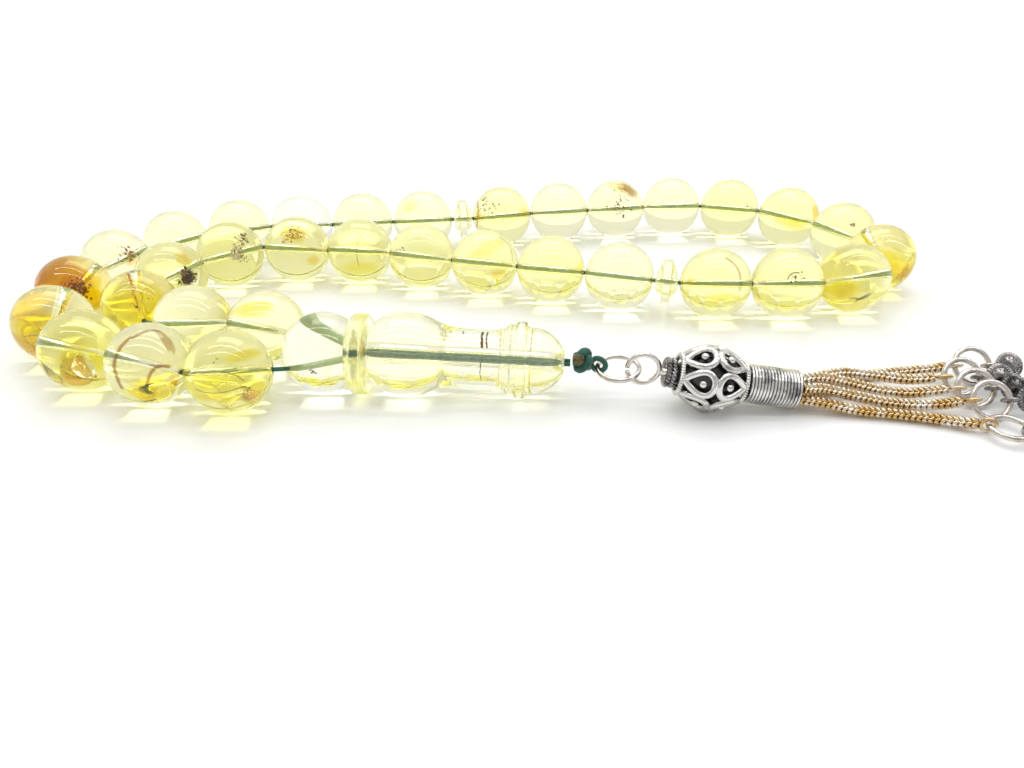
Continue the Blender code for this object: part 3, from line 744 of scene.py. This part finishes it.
# (bead, kind, material, place in bead radii, size, lean). Sizes are in millimetres: the
# three half widths of a blob or plate, a line's half length, rise and radius, and the
# spread, count and grain radius of specks.
INSIDE_BEADS = [
    (1, "blob", YELLOW_STAIN, (-0.05, -0.26, 0.25), (4.6, 1.0, 2.2), 4),
    (1, "plate", GOLD_STAIN, (-0.1, -0.50, 0.3), (3.2, 0.5, 0.7), -3),
    (1, "plate", GOLD_STAIN, (0.34, 0.28, 0.2), (2.8, 0.6, 0.8), 16),
    (1, "plate", OLIVE_STAIN, (0.38, 0.0, 0.45), (1.5, 0.45, 0.10), -32),
    (1, "line", DARK_BITS, (0.05, -0.40, 0.55), (3.2, -0.5, 0.05), 2),
    (1, "line", BROWN_BITS, (0.30, -0.12, 0.60), (1.6, 0.3, 0.05), -22),
    (1, "specks", BROWN_BITS, (-0.05, 0.2, 0.5), (0.4, 7, 0.06), 0),
    (1, "plate", FRACTURE, (-0.15, 0.0, 0.3), (3.4, 0.5, 0.08), 3),
    (1, "plate", FRACTURE, (0.25, -0.36, 0.4), (2.2, 0.7, 0.07), -14),
    (2, "plate", BROWN_STAIN, (0.46, 0.44, 0.25), (1.7, 0.75, 0.16), -52),
    (2, "line", BROWN_STAIN, (0.05, 0.56, 0.25), (1.7, 0.35, 0.20), 24),
    (2, "line", BROWN_STAIN, (-0.34, 0.02, 0.35), (2.9, 1.1, 0.24), 80),
    (2, "line", BROWN_STAIN, (0.34, -0.22, 0.45), (2.0, 1.2, 0.24), 40),
    (2, "blob", ORANGE_STAIN, (0.34, -0.36, 0.35), (0.5, 0.5, 0.4), 0),
    (2, "blob", YELLOW_STAIN, (0.0, -0.42, 0.1), (2.4, 0.9, 1.6), 8),
    (3, "blob", YELLOW_STAIN, (0.0, -0.22, 0.05), (2.2, 1.9, 2.0), 18),
    (3, "line", DARK_BITS, (-0.35, -0.48, 0.4), (1.4, 0.4, 0.05), -44),
    (4, "blob", YELLOW_STAIN, (-0.22, -0.10, 0.1), (2.3, 1.6, 1.8), 24),
    (4, "line", BROWN_BITS, (-0.05, -0.30, 0.4), (1.8, 0.3, 0.04), -6),
    (4, "specks", BROWN_BITS, (0.12, -0.2, 0.45), (0.4, 8, 0.07), 0),
    (5, "blob", AMBER_STAIN, (-0.45, 0.26, 0.0), (3.2, 2.4, 3.2), 20),
    (5, "blob", GOLD_STAIN, (0.05, -0.1, 0.1), (3.6, 2.6, 2.6), 30),
    (5, "blob", YELLOW_STAIN, (0.40, -0.25, 0.2), (2.2, 2.2, 2.2), 0),
    (5, "specks", RED_BITS, (0.34, -0.05, 0.5), (1.5, 120, 0.15), -30),
    (6, "blob", RUST_STAIN, (0.50, 0.05, 0.3), (1.1, 1.2, 0.7), -30),
    (6, "specks", RED_BITS, (0.50, 0.15, 0.4), (1.3, 60, 0.12), 0),
    (3, "plate", FRACTURE, (0.2, -0.35, 0.2), (1.2, 1.6, 0.06), 30),
    (9, "blob", YELLOW_STAIN, (0.40, -0.35, 0.3), (0.8, 0.6, 0.6), 0),
    (11, "blob", YELLOW_STAIN, (-0.30, 0.30, 0.2), (1.5, 0.8, 0.7), 30),
    (12, "blob", ORANGE_STAIN, (-0.62, -0.05, 0.2), (0.8, 0.8, 0.6), 0),
    (12, "blob", ORANGE_STAIN, (0.60, 0.05, 0.2), (0.8, 0.8, 0.6), 0),
    (12, "specks", BROWN_BITS, (-0.5, 0.2, 0.4), (1.9, 40, 0.12), 0),
    (12, "line", BROWN_STAIN, (-0.72, 0.0, 0.2), (2.6, -0.9, 0.22), 84),
    (14, "plate", BROWN_STAIN, (0.32, 0.45, 0.3), (2.2, 1.0, 0.2), -30),
    (14, "plate", GOLD_STAIN, (0.1, 0.5, 0.3), (2.4, 0.9, 0.4), -20),
    (14, "specks", BROWN_BITS, (0.1, 0.0, 0.5), (2.0, 36, 0.13), 0),
    (16, "specks", BROWN_BITS, (0.42, 0.0, 0.4), (1.0, 12, 0.07), 0),
    (17, "blob", ORANGE_STAIN, (0.68, 0.0, 0.2), (1.3, 1.6, 1.2), 0),
    (17, "blob", YELLOW_STAIN, (0.0, -0.2, 0.2), (2.6, 0.6, 1.5), -18),
    (18, "specks", BROWN_BITS, (0.05, 0.1, 0.55), (0.5, 14, 0.09), 0),
    (19, "plate", GOLD_STAIN, (0.40, -0.35, 0.1), (2.2, 0.9, 1.0), -20),
    (19, "blob", YELLOW_STAIN, (0.1, -0.20, 0.1), (2.8, 1.9, 2.2), -20),
    (19, "plate", FRACTURE, (0.2, 0.2, 0.3), (2.2, 0.5, 0.06), -28),
    (20, "plate", GOLD_STAIN, (-0.35, -0.38, 0.3), (2.2, 0.9, 0.5), 24),
    (20, "blob", YELLOW_STAIN, (-0.38, -0.30, 0.2), (2.2, 1.5, 1.8), 20),
    (21, "specks", DARK_BITS, (0.0, 0.05, 0.5), (0.9, 12, 0.12), 0),
    (21, "line", DARK_BITS, (-0.05, 0.1, 0.5), (0.9, 0.4, 0.06), 30),
    (22, "line", BROWN_STAIN, (0.35, 0.15, 0.5), (2.6, 0.9, 0.16), -68),
    (22, "blob", ORANGE_STAIN, (-0.62, 0.0, 0.2), (0.8, 0.7, 0.6), 0),
    (22, "blob", YELLOW_STAIN, (0.1, -0.35, 0.2), (2.7, 0.6, 1.4), 0),
    (23, "specks", BROWN_BITS, (0.0, -0.5, 0.4), (1.2, 12, 0.07), 0),
    (24, "plate", GOLD_STAIN, (0.72, 0.0, 0.3), (1.5, 0.6, 0.5), 30),
    (25, "plate", YELLOW_STAIN, (0.1, 0.3, 0.2), (3.0, 0.9, 0.7), 24),
    (25, "line", BROWN_STAIN, (0.6, 0.3, 0.3), (2.2, 0.8, 0.14), -60),
    (25, "blob", ORANGE_STAIN, (0.30, -0.3, 0.2), (1.3, 0.8, 0.8), 0),
    (26, "specks", BROWN_BITS, (-0.45, 0.1, 0.4), (0.6, 9, 0.09), 0),
    (27, "blob", YELLOW_STAIN, (0.0, -0.42, 0.1), (2.8, 0.9, 1.4), 0),
    (27, "line", BROWN_BITS, (0.05, -0.1, 0.55), (2.6, 0.6, 0.04), 84),
    (28, "blob", ORANGE_STAIN, (0.0, 0.30, 0.3), (2.0, 1.3, 1.0), 0),
    (28, "specks", RED_BITS, (0.0, 0.28, 0.5), (1.4, 60, 0.10), 0),
    (28, "specks", PALE_BITS, (-0.2, 0.05, 0.6), (0.25, 5, 0.16), 0),
    (28, "blob", ORANGE_STAIN, (0.45, -0.35, 0.2), (1.1, 0.8, 0.8), 0),
    (29, "specks", BROWN_BITS, (0.42, 0.32, 0.35), (1.2, 44, 0.12), -40),
    (29, "blob", PALE_BITS, (0.32, -0.10, 0.5), (0.75, 1.0, 0.25), 10),
    (29, "specks", PALE_BITS, (0.36, -0.05, 0.5), (1.0, 40, 0.16), 0),
    (29, "specks", BROWN_BITS, (0.45, -0.20, 0.4), (1.1, 30, 0.09), 60),
    (30, "blob", ORANGE_STAIN, (0.38, 0.35, 0.2), (1.4, 0.9, 0.9), -30),
    (30, "specks", BROWN_BITS, (0.58, -0.12, 0.35), (1.2, 130, 0.17), 30),
    (30, "blob", OLIVE_STAIN, (0.52, -0.12, 0.3), (1.7, 1.3, 0.8), 30),
    (31, "blob", YELLOW_STAIN, (0.0, 0.0, 0.0), (3.4, 2.6, 3.0), -30),
    (31, "blob", OLIVE_STAIN, (-0.42, -0.35, 0.45), (0.9, 0.9, 0.5), 0),
    (31, "blob", ORANGE_STAIN, (0.12, 0.05, 0.35), (0.5, 1.3, 0.35), 34),
    (31, "plate", FRACTURE, (-0.1, 0.25, 0.3), (2.4, 0.6, 0.06), 24),
    (31, "specks", BROWN_BITS, (0.2, 0.0, 0.45), (1.5, 26, 0.07), -40),
    (33, "blob", YELLOW_STAIN, (-0.2, 0.35, 0.1), (2.4, 0.8, 1.6), 8),
]


# (kind, material, place in millimetres from the centre, size, lean)
INSIDE_HEAD_BEAD = [
    ("blob", YELLOW_STAIN, (-0.3, -3.4, 1.2), (2.6, 0.5, 1.0), -12),
    ("specks", BROWN_BITS, (-0.6, -2.6, 3.0), (0.45, 16, 0.09), 40),
    ("blob", ORANGE_STAIN, (1.0, -2.2, 2.6), (0.75, 0.3, 0.4), 34),
    ("plate", OLIVE_STAIN, (-0.6, 3.2, 1.2), (2.4, 0.35, 0.12), -26),
]
INSIDE_IMAME = [
    ("line", BROWN_BITS, (2.2, 2.2, 2.0), (1.2, 0.15, 0.20), 88),
    ("line", BROWN_BITS, (2.0, -1.9, 2.2), (1.4, 0.2, 0.07), 86),
    ("line", BROWN_BITS, (2.9, 2.1, 2.0), (1.2, 0.15, 0.13), 88),
    ("specks", BROWN_BITS, (-0.6, 3.0, 1.2), (0.3, 5, 0.09), 0),
    ("specks", BROWN_BITS, (-3.2, -2.6, 1.6), (0.3, 4, 0.09), 0),
    ("blob", YELLOW_STAIN, (-3.0, -2.7, 0.6), (6.2, 0.16, 0.6), -2),
    ("blob", YELLOW_STAIN, (8.6, -2.2, 0.8), (2.2, 0.3, 0.8), 12),
    ("blob", YELLOW_STAIN, (-8.6, -3.4, 0.6), (3.4, 0.3, 1.2), -4),
]


def inside_shape(kind, size, seed):
    """A stain, a thin plate, a curved line or a cluster of specks, in millimetres."""
    random.seed(seed)
    if kind == "specks":
        spread, count, grain = size
        shapes = []
        for _ in range(count):
            at = Vector([random.gauss(0, 0.5) * spread for _ in range(3)])
            shapes.append(ball(at, grain * random.uniform(0.5, 1.5), 4, 6))
        return joined(shapes)
    if kind == "line":
        length, rise, thick = size
        line = [Vector((length * x, rise * (1 - x * x) - rise / 2, 0.25 * math.sin(3 * x)))
                for x in (-1, -0.6, -0.2, 0.2, 0.6, 1)]
        line = [p + noise.noise_vector(p + Vector((seed, 0, 0))) * 0.12 for p in line]
        return sweep(smooth_line(line, 5), thick, 6)
    vertices, faces = ball((0, 0, 0), 1.0, 18, 28)
    bend = 0.5 if kind == "plate" else 0.0
    shaped = []
    for vertex in vertices:
        ragged = 1 + 0.45 * noise.noise(vertex * 1.6 + Vector((seed, 0, 0)))
        x, y, z = (vertex * ragged)[:]
        shaped.append(Vector((x * size[0], y * size[1],
                              z * size[2] + bend * size[1] * x * x)))
    return shaped, faces


def kept_inside(vertices, centre, reach):
    """Vertices pulled in where they would stand out of a ball of this radius."""
    for i, vertex in enumerate(vertices):
        out = vertex - centre
        if out.length > reach:
            vertices[i] = centre + out * (reach / out.length)
    return vertices


def inclusion(centre, offset, kind, size, lean, seed):
    """The shape, moved to its place in the view round a piece's centre."""
    place = (Matrix.Translation(centre + VIEW @ offset) @ VIEW.to_4x4()
             @ Matrix.Rotation(math.radians(lean), 4, "Z") @ Matrix.Scale(MM, 4))
    return moved(inside_shape(kind, size, seed), place)


def make_bead_inclusions():
    for number, (bead, kind, material, at, size, lean) in enumerate(INSIDE_BEADS, 1):
        name = f"bead_{bead:02d}"
        centre = STRAND[name][0]
        vertices, faces = inclusion(centre, Vector(at) * BEAD_R, kind, size, lean, number)
        vertices = kept_inside(vertices, centre, BEAD_R * BEAD_DEPTH)
        add_mesh(f"{name}_{kind}_{number}", vertices, faces, material, name, [], "amber")


def make_head_inclusions(name, centre, body, inside, seed):
    for number, (kind, material, at, size, lean) in enumerate(inside):
        shape = inclusion(centre, Vector(at) * MM, kind, size, lean, seed + number)
        add_mesh(f"{name}_{kind}_{number}", *shape, material, body, [], "amber")


# ---------------- head bead, disc, imame

def make_head_bead(arcs=34):
    """A solid ball with a flat at its outlet, and the walls of its two channels."""
    top = math.acos(HEAD_FACE / BEAD_R)
    turns = [top + (math.pi - top) * i / arcs for i in range(arcs)]
    outline = [(0, HEAD_FACE), (BEAD_R * math.sin(top) * 0.55, HEAD_FACE)]
    outline += [(BEAD_R * math.sin(turn), BEAD_R * math.cos(turn)) for turn in turns]
    outline.append((0, -BEAD_R))
    bm = bmesh.new()
    points = [bm.verts.new((r, 0, h)) for r, h in outline]
    edges = [bm.edges.new(pair) for pair in zip(points, points[1:])]
    bmesh.ops.spin(bm, geom=points + edges, cent=(0, 0, 0), axis=(0, 0, 1),
                   angle=TURN, steps=64, use_merge=True)
    bmesh.ops.remove_doubles(bm, verts=bm.verts, dist=1e-6)
    bmesh.ops.recalc_face_normals(bm, faces=bm.faces)
    mesh = bpy.data.meshes.new("head_ball")
    bm.to_mesh(mesh)
    bm.free()
    add_piece("amber_head_bead", mesh, CLEAR, "strand", ["head_bead"],
              frame_along(HEAD_CENTRE, head_axis()), sharp=35)
    linings = []
    for side in (-1, 1):
        inlet, outlet = head_inlet(side), head_outlet(side)
        linings.append(lining(inlet.lerp(outlet, 0.01), inlet.lerp(outlet, 0.99)))
    add_mesh("bore_of_head_bead", *joined(linings), FROSTED, "strand", [], "amber")
    make_head_inclusions("head_bead", HEAD_CENTRE, "strand", INSIDE_HEAD_BEAD, seed=70)


def make_head_disc():
    """A thin disc with flat faces, rounded edges and a slightly crowned rim."""
    rim, flat = 0.5 * MM, DISC_HALF
    bore, mouth, mouth_depth = 1.0 * MM, 1.12 * MM, 0.1 * MM
    shoulder, crown = DISC_R - rim - 1.4 * MM, DISC_R + 0.02 * MM
    outline = [(bore, flat - mouth_depth), (mouth, flat), (shoulder, flat)]
    outline += arc(DISC_R - rim, flat - rim, rim, 90, 0, 6)
    outline += [(crown, 0)]
    outline += arc(DISC_R - rim, rim - flat, rim, 0, -90, 6)
    outline += [(shoulder, -flat), (mouth, -flat), (bore, mouth_depth - flat)]
    add_mesh("amber_head_disc", *lathe(outline, 72), SATIN, "head_disc", ["head_disc"],
             "amber", frame_along(DISC_CENTRE, head_axis()), sharp=50)


def make_imame():
    """The long turned piece, with one wide bore and two walls round the cord's ends."""
    turned = [Vector((s, r, 0)) for s, r in IMAME_OUTLINE]
    bore, flare, tip = 0.98 * MM, 0.15 * MM, IMAME_OUTLINE[-1][0]
    outline = [(bore + flare, tip)]
    outline += [(p.y, p.x) for p in reversed(smooth_line(turned, 5))]
    outline += [(3.2 * MM, -0.05 * MM), (bore + flare, 0), (bore, flare)]
    outline += [(bore, tip * i / 8) for i in range(1, 8)]
    outline += [(bore, tip - flare)]
    add_mesh("amber_imame", *lathe(outline, 72), IMAME_AMBER, "imame", ["imame"], "amber",
             frame_along(IMAME_START, IMAME_END - IMAME_START), sharp=60)
    line = (IMAME_END - IMAME_START).normalized()
    shift = UP.cross(head_axis()) * PAIR_OFFSET
    inset = line * 0.5 * MM
    linings = [lining(IMAME_START + inset + shift * side, IMAME_END - inset + shift * side)
               for side in (-1, 1)]
    add_mesh("bore_of_imame", *joined(linings), PAIR_FROSTED, "imame", [], "amber")
    middle = (IMAME_START + IMAME_END) / 2
    make_head_inclusions("imame", middle, "imame", INSIDE_IMAME, seed=90)


# ---------------- tassel head

def jump_frame():
    """X from the knot's loop to the tassel's eye, Z the ring's normal."""
    across = -Vector(JOINTS["jump_ring"]["axis"])
    far = Vector(JOINTS["tassel_head"]["pos_m"])
    x = (far - LOOP_CENTRE).normalized()
    z = x.cross(across).normalized()
    return Matrix.LocRotScale(LOOP_CENTRE, Matrix((x, across, z)).transposed(), None)


def make_jump_ring():
    place = jump_frame() @ Matrix.Translation((JUMP_R, 0, 0))
    shape = sweep(circle(JUMP_R, 72), JUMP_WIRE_R, 16, closed=True)
    add_mesh("silver_jump_ring", *shape, POLISHED, "jump_ring", ["jump_ring"], place=place)


def tassel_frame(distance=0.0):
    """Z along the tassel's head, at this distance from the middle of its eye."""
    axis = (TASSEL_MOUTH - TASSEL_EYE).normalized()
    return frame_along(TASSEL_EYE + axis * distance, axis)


def make_eye():
    """The eye's bent wire with its cut end, and its shank, which ends in the ferrule."""
    place = tassel_frame()
    bend = []
    for i in range(56):
        a = math.radians(200 + 342 * i / 55)
        bend.append(place @ Vector((EYE_R * math.sin(a), 0.0, EYE_R * math.cos(a))))
    eye = sweep(bend, EYE_WIRE_R, 14)
    line = [place @ Vector((0, 0, z * MM)) for z in (2.1, 4.5, 9.0, 14.0, 16.6)]
    shank = sweep(line, EYE_SHANK_R, 14)
    add_mesh("silver_eye", *joined([eye, shank]), POLISHED, "tassel_head", ["eye_pin"])


def rope(radius, thick, twists, count=160):
    """Two wires twisted into a rope and bent into a ring round Z."""
    shapes = []
    for ply in (0, math.pi):
        line = []
        for i in range(count):
            a = TURN * i / count
            b = ply + twists * a
            r = radius + thick * 0.5 * math.cos(b)
            line.append(Vector((r * math.cos(a), r * math.sin(a),
                                thick * 0.5 * math.sin(b))))
        shapes.append(sweep(line, thick * 0.56, 8, closed=True))
    return joined(shapes)


def make_collar():
    middle = tassel_frame(COLLAR_START + COLLAR_LENGTH / 2)
    ropes = [moved(rope(COLLAR_ROPE_R, COLLAR_ROPE_WIRE, 11),
                   Matrix.Translation((0, 0, z * MM))) for z in (-0.38, 0.38)]
    hub = lathe([(r * MM, h * MM) for r, h in (
        (1.5, 0.5), (1.5, -0.5), (0.7, -0.5), (0.7, 0.5))], 32)
    add_mesh("silver_rope_collar", *joined([*ropes, hub]), DARKENED, "tassel_head",
             ["rope_collar"], place=middle, sharp=50)


def cage_radius(along):
    """The barrel's radius at this share of its length."""
    return CAGE_END_R + (CAGE_R - CAGE_END_R) * math.sin(math.pi * along)


def on_cage(turn, along, lift):
    """The point at this turn round the barrel and share of its length."""
    r = cage_radius(along) + lift
    return Vector((r * math.cos(turn), r * math.sin(turn), along * CAGE_LENGTH))


def make_cage(loops=6, loop_points=26):
    """Scroll loops of thick wire with a grain in each, over a black shell of painted shade.
    """
    shapes = []
    for mirrored in (False, True):
        for number in range(loops):
            middle = TURN * (number + 0.25) / loops
            line = []
            for i in range(loop_points):
                # a drop, pointed at the barrel's end and round at its middle
                t = TURN * (i + 0.5) / loop_points
                along = 0.07 + 0.40 * (1 - math.cos(t)) / 2
                wide = 0.50 * math.sin(t) * math.sin(t / 2) ** 0.6
                line.append(on_cage(middle + wide, 1 - along if mirrored else along,
                                    -CAGE_WIRE_R))
            shapes.append(sweep(line, CAGE_WIRE_R, 8, closed=True))
            grain = on_cage(middle, 1 - 0.31 if mirrored else 0.31, -0.5 * MM)
            shapes.append(ball(grain, CAGE_GRAIN_R, 8, 12))
    for along in (0.03, 0.97):
        r = cage_radius(along) - 0.1 * MM
        ring = moved(rope(r, 0.34 * MM, 22, 220),
                     Matrix.Translation((0, 0, along * CAGE_LENGTH)))
        shapes.append(ring)
    add_mesh("silver_filigree", *joined(shapes), SCROLLED, "tassel_head",
             ["filigree_cage"], place=tassel_frame(CAGE_START))
    # The black shell is painted shade: it stands for the dark inside of the open barrel.
    bore, steps = 0.7 * MM, 16
    outline = [(bore, CAGE_LENGTH)]
    outline += [(cage_radius(i / steps) - CAGE_SHADE_DEPTH, CAGE_LENGTH * i / steps)
                for i in range(steps, -1, -1)]
    outline += [(bore, 0)]
    add_mesh("cage_shade_shell", *lathe(outline, 40), SHADE_BLACK, "tassel_head", [],
             place=tassel_frame(CAGE_START), sharp=50)


def make_ferrule(ridges=16):
    """A tube with rounded ridges outside, a small hole at its back and a wide mouth."""
    length = (TASSEL_MOUTH - TASSEL_EYE).length - FERRULE_START
    outline = [(2.5 * MM, length)]
    for i in range(ridges):
        top = length * (1 - i / ridges)
        for share, rise in ((0.06, 0.0), (0.25, 0.75), (0.5, 1.0), (0.75, 0.75),
                            (0.94, 0.0)):
            outline.append((FERRULE_R - FERRULE_RIDGE_HEIGHT * (1 - rise),
                            top - share * length / ridges))
    outline += [(2.4 * MM, 0), (0.85 * MM, 0), (0.85 * MM, 0.6 * MM), (2.1 * MM, 0.8 * MM),
                (2.3 * MM, length - 1.6 * MM), (2.46 * MM, length - 0.1 * MM)]
    add_mesh("silver_ferrule", *lathe(outline, 56), OXIDISED, "tassel_head", ["ferrule"],
             place=tassel_frame(FERRULE_START), sharp=60)


# ---------------- chains, rings, charms

def chain_start(angle):
    """Where the chain at this angle round the ferrule's mouth leaves it."""
    turn = math.radians(angle)
    mouth = tassel_frame((TASSEL_MOUTH - TASSEL_EYE).length)
    back, up = -mouth.col[1].to_3d(), mouth.col[0].to_3d()
    return TASSEL_MOUTH + (back * math.cos(turn) + up * math.sin(turn)) * CHAIN_CIRCLE_R


def foxtail(points):
    """Woven links along the points: on each of four sides, arms run forward and inward
    from both edges and meet in a row of points, as in a plait. They stop short of the
    last point, where the eye is."""
    lengths = np.cumsum([0] + [(b - a).length for a, b in zip(points, points[1:])])
    shapes = []
    for i in range(int((lengths[-1] - 0.4 * MM) / CHAIN_PITCH)):
        at = CHAIN_PITCH * (i + 1)
        k = min(max(int(np.searchsorted(lengths, at)) - 1, 0), len(points) - 2)
        share = (at - lengths[k]) / (lengths[k + 1] - lengths[k])
        place = frame_along(points[k].lerp(points[k + 1], share),
                            points[k + 1] - points[k])
        for side in range(4):
            arm = []
            for j in range(7):
                t = j / 6
                turn = math.pi / 2 * (side + t) + math.pi / 4
                bulge = math.sin(math.pi * t)
                r = CHAIN_CORNER_R + CHAIN_BULGE * bulge
                arm.append(Vector((r * math.cos(turn), r * math.sin(turn),
                                   CHAIN_ARM_LEAD - CHAIN_ARM_DEPTH * bulge)))
            shapes.append(moved(sweep(arm, CHAIN_ARM_R, 7), place))
    return joined(shapes)


def link_eye(centre, across):
    """A small ring of wire that turns about the direction across."""
    return moved(sweep(circle(LINK_EYE_R, 32), LINK_EYE_WIRE_R, 10, closed=True),
                 frame_along(centre, across))


def make_chain(number):
    """One chain with its end ring and charm."""
    angle, middle, link, heading, lean = CHAINS[number - 1]
    axes = (Matrix.Rotation(math.radians(heading), 3, "Z")
            @ Matrix.Rotation(math.radians(lean), 3, "X"))
    onward, across, normal = axes.col
    link = Vector(link) * MM
    chain = f"tassel_chain_{number}"
    stop = link - onward * (LINK_EYE_R - EYE_OVERLAP)
    route = smooth_line([chain_start(angle), *(Vector(p) * MM for p in middle), stop], 8)
    # Painted shade: a black tube down the middle stands for the dark inside of the woven
    # links.
    core = sweep(route[:-4], CHAIN_SHADE_CORE_R, 10)
    add_mesh(f"foxtail_chain_{number}", *joined([foxtail(route), link_eye(link, across)]),
             TARNISHED, chain, [chain])
    add_mesh(f"chain_shade_core_{number}", *core, SHADE_BLACK, chain)

    ring = sweep(circle(END_RING_R, 56), END_RING_WIRE_R, 14, closed=True)
    add_mesh(f"silver_end_ring_{number}", *ring, POLISHED, f"end_ring_{number}",
             [f"end_ring_{number}"], place=frame_along(link + onward * END_RING_R, normal))

    bail = link + onward * END_RING_R * 2
    centre = bail + onward * (LINK_EYE_R - EYE_OVERLAP + CHARM_R)
    flat = frame_along(centre, normal)
    shapes = [moved(rope(CHARM_ROPE_R, CHARM_ROPE_WIRE, 13), flat)]
    dome = [(0.001 * MM, 0.55 * MM), (0.5 * MM, 0.5 * MM), (0.95 * MM, 0.3 * MM),
            (1.5 * MM, 0.18 * MM)]
    dome += [(r, -h) for r, h in reversed(dome)]
    shapes.append(moved(lathe(dome, 32), flat))
    for side in (-1, 1):
        for k in range(10):
            a = TURN * k / 10
            spot = Vector((1.12 * math.cos(a), 1.12 * math.sin(a), 0.26 * side)) * MM
            shapes.append(moved(ball(spot, CHARM_GRAIN_R, 6, 8), flat))
    shapes.append(link_eye(bail, across))
    add_mesh(f"silver_charm_{number}", *joined(shapes), DARKENED, f"charm_{number}",
             [f"charm_{number}"], sharp=60)


make_camera()
make_cord()
make_room()
make_knot()
make_beads()
make_bead_inclusions()
make_head_bead()
make_head_disc()
make_imame()
make_jump_ring()
make_eye()
make_collar()
make_cage()
make_ferrule()
for chain_number in range(1, len(CHAINS) + 1):
    make_chain(chain_number)

bpy.context.view_layer.update()
